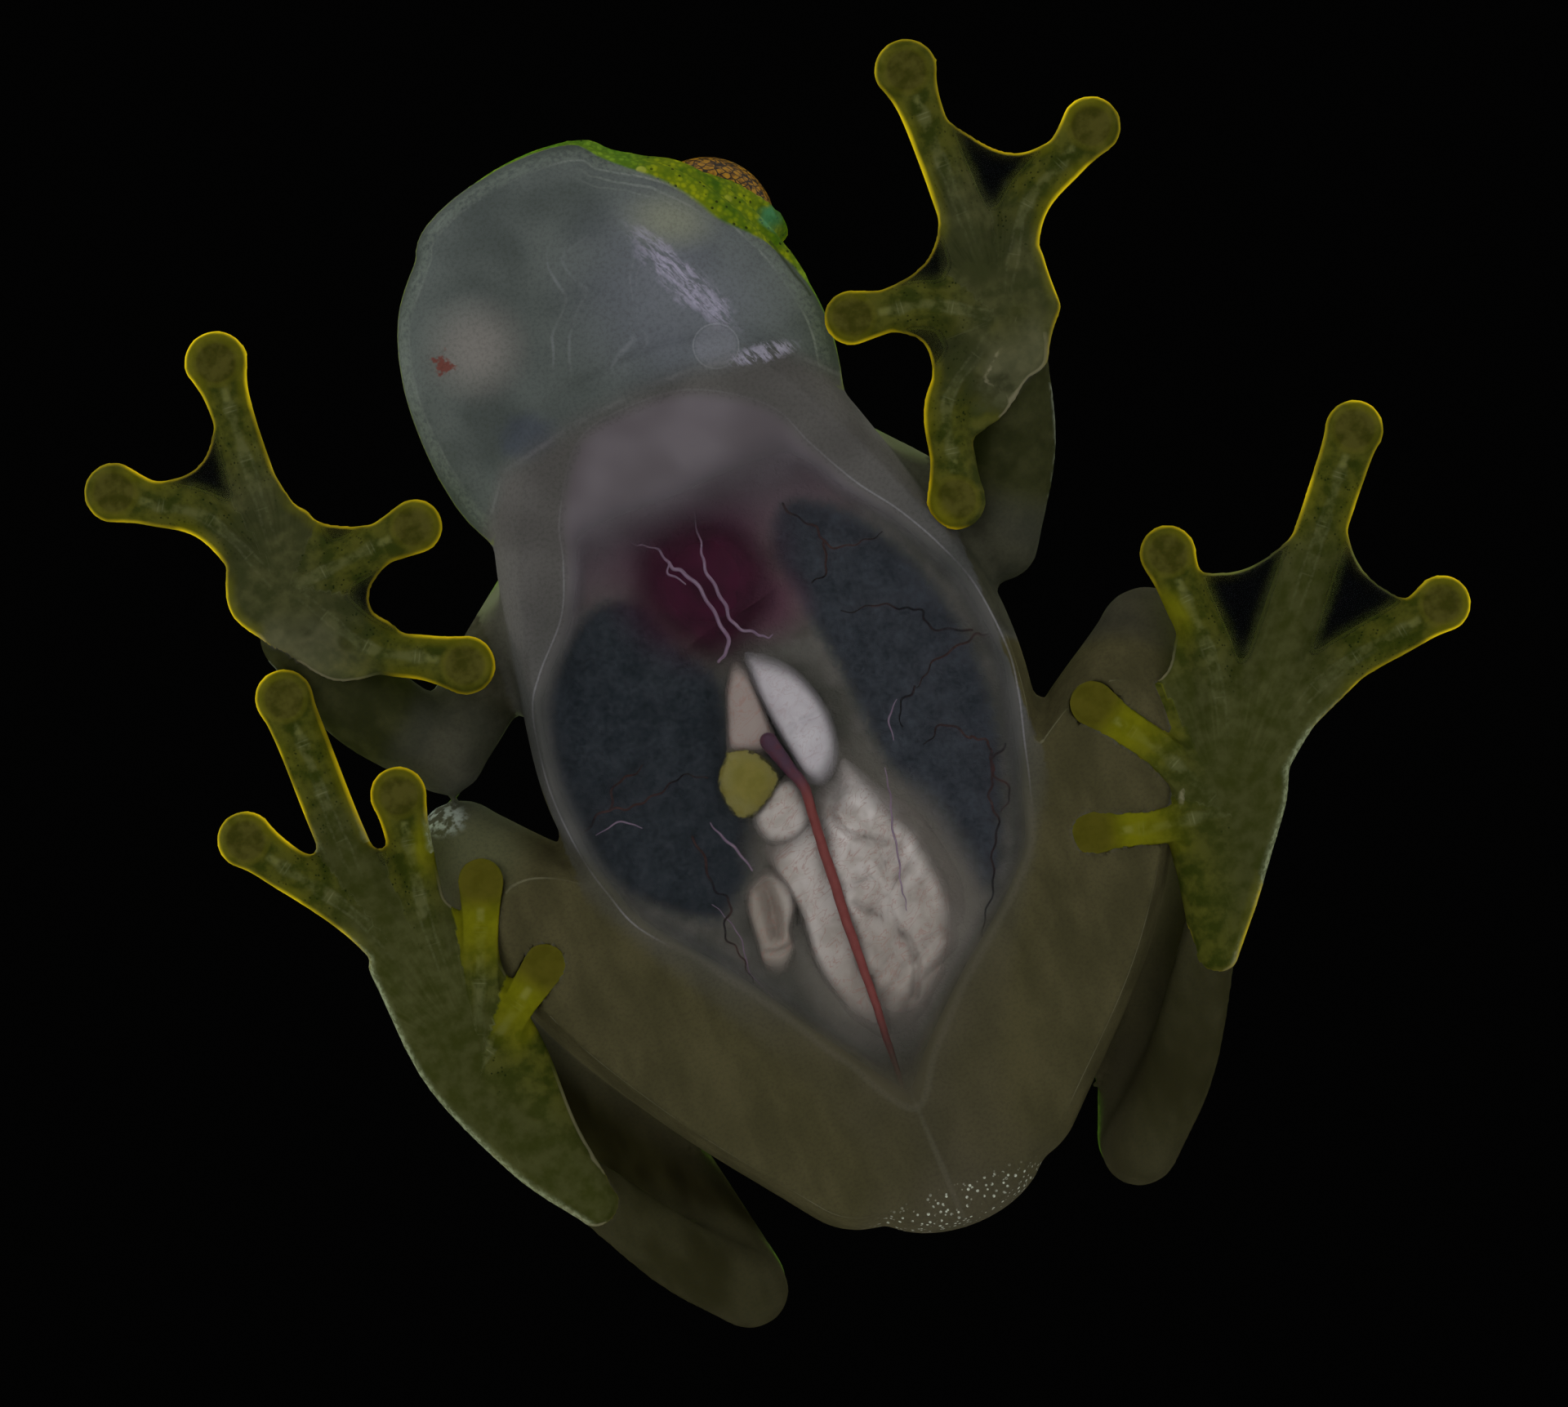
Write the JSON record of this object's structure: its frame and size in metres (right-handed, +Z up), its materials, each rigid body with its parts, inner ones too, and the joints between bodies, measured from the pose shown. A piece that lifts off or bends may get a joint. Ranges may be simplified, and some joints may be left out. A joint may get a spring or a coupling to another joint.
{
  "type": "glass frog",
  "caption": "Life-size glass frog lying flat on its belly with hands and webbed feet spread, head, trunk, eyes and each limb part as separate touching solids",
  "frame": {"origin": "on the floor under the middle of the flat belly, in the plane that belly, hands and feet rest on", "axes": "+Z up, the snout towards -Y, the frog's left side towards +X; the longest extent is along X, between the right fourth finger and the left fifth toe"},
  "size_m": [0.0271, 0.0257, 0.0057],
  "materials": {
    "skin": "moist, smooth skin, clear and pale grey below, fine-grained green above",
    "limb": "moist, translucent olive skin",
    "digit": "moist, translucent yellow-green skin with brighter rims",
    "eye": "wet and clear over a golden iris"
  },
  "bodies": {
    "root": {"torso": "skin", "head": "skin", "eye_left": "eye", "hand_left": "digit", "forearm_left": "limb", "upper_arm_left": "limb", "tarsus_left": "limb", "shank_left": "limb", "thigh_left": "limb", "foot_left": "digit", "eye_right": "eye", "hand_right": "digit", "forearm_right": "limb", "upper_arm_right": "limb", "tarsus_right": "limb", "shank_right": "limb", "thigh_right": "limb", "foot_right": "digit"}
  },
  "joints": []
}
